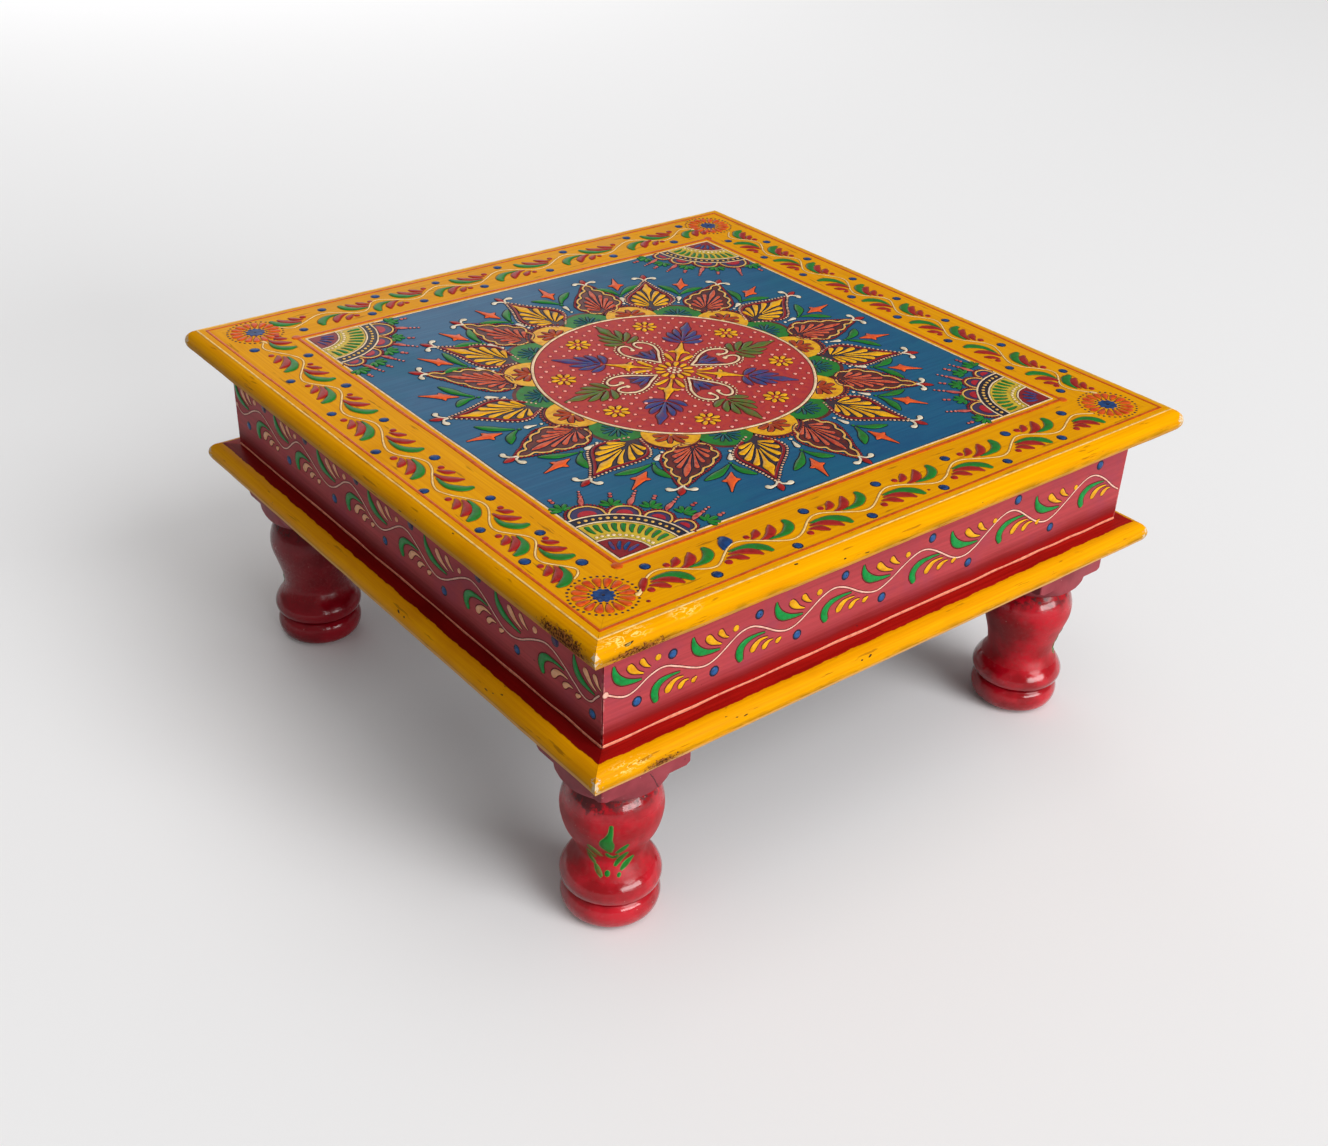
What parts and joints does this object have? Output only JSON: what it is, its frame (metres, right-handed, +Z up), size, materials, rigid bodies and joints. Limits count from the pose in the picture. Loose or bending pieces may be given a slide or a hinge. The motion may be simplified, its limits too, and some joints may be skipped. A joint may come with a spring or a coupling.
{
  "type": "bajot low table",
  "caption": "Low square wooden table: framed flush panel on a shallow apron box, nosed lower moulding and turned legs with square heads, all painted.",
  "frame": {"origin": "on the floor under the middle of the table, midway between the four legs", "axes": "+Z up through the middle of the top; +X to the right and -Y to the front, square to the aprons"},
  "size_m": [0.38, 0.38, 0.188],
  "materials": {
    "panel_paint": "blue gloss paint with brush grain, painted with a raised mandala",
    "yellow_paint": "yellow gloss paint, painted with a raised vine, worn and grimy on the nose",
    "rose_paint": "rose paint, dusty, crimson along the foot, painted with a raised vine",
    "moulding_paint": "crimson ledge and a yellow nose, gloss paint with a wobbly edge between them",
    "leg_paint": "red gloss paint on turned wood, worn and crackled",
    "bare_wood": "sawn softwood, unpainted",
    "screw_steel": "dull zinc"
  },
  "bodies": {
    "root": {"top_panel": "panel_paint", "top_rail_front": "yellow_paint", "apron_front": "rose_paint", "moulding_front": "moulding_paint", "top_cleat_front": "bare_wood", "cleat_screw_front_1": "screw_steel", "moulding_screw_front_1": "screw_steel", "block_screw_front_1": "screw_steel", "cleat_screw_front_2": "screw_steel", "moulding_screw_front_2": "screw_steel", "block_screw_front_2": "screw_steel", "top_rail_right": "yellow_paint", "apron_right": "rose_paint", "moulding_right": "moulding_paint", "top_cleat_right": "bare_wood", "cleat_screw_right_1": "screw_steel", "moulding_screw_right_1": "screw_steel", "block_screw_right_1": "screw_steel", "cleat_screw_right_2": "screw_steel", "moulding_screw_right_2": "screw_steel", "block_screw_right_2": "screw_steel", "top_rail_back": "yellow_paint", "apron_back": "rose_paint", "moulding_back": "moulding_paint", "top_cleat_back": "bare_wood", "cleat_screw_back_1": "screw_steel", "moulding_screw_back_1": "screw_steel", "block_screw_back_1": "screw_steel", "cleat_screw_back_2": "screw_steel", "moulding_screw_back_2": "screw_steel", "block_screw_back_2": "screw_steel", "top_rail_left": "yellow_paint", "apron_left": "rose_paint", "moulding_left": "moulding_paint", "top_cleat_left": "bare_wood", "cleat_screw_left_1": "screw_steel", "moulding_screw_left_1": "screw_steel", "block_screw_left_1": "screw_steel", "cleat_screw_left_2": "screw_steel", "moulding_screw_left_2": "screw_steel", "block_screw_left_2": "screw_steel", "leg_front_left": "leg_paint", "corner_block_front_left": "bare_wood", "leg_front_right": "leg_paint", "corner_block_front_right": "bare_wood", "leg_back_right": "leg_paint", "corner_block_back_right": "bare_wood", "leg_back_left": "leg_paint", "corner_block_back_left": "bare_wood", "panel_batten_left": "bare_wood", "panel_batten_right": "bare_wood", "batten_screw_1": "screw_steel", "batten_screw_2": "screw_steel", "batten_screw_3": "screw_steel", "batten_screw_4": "screw_steel"}
  },
  "joints": []
}
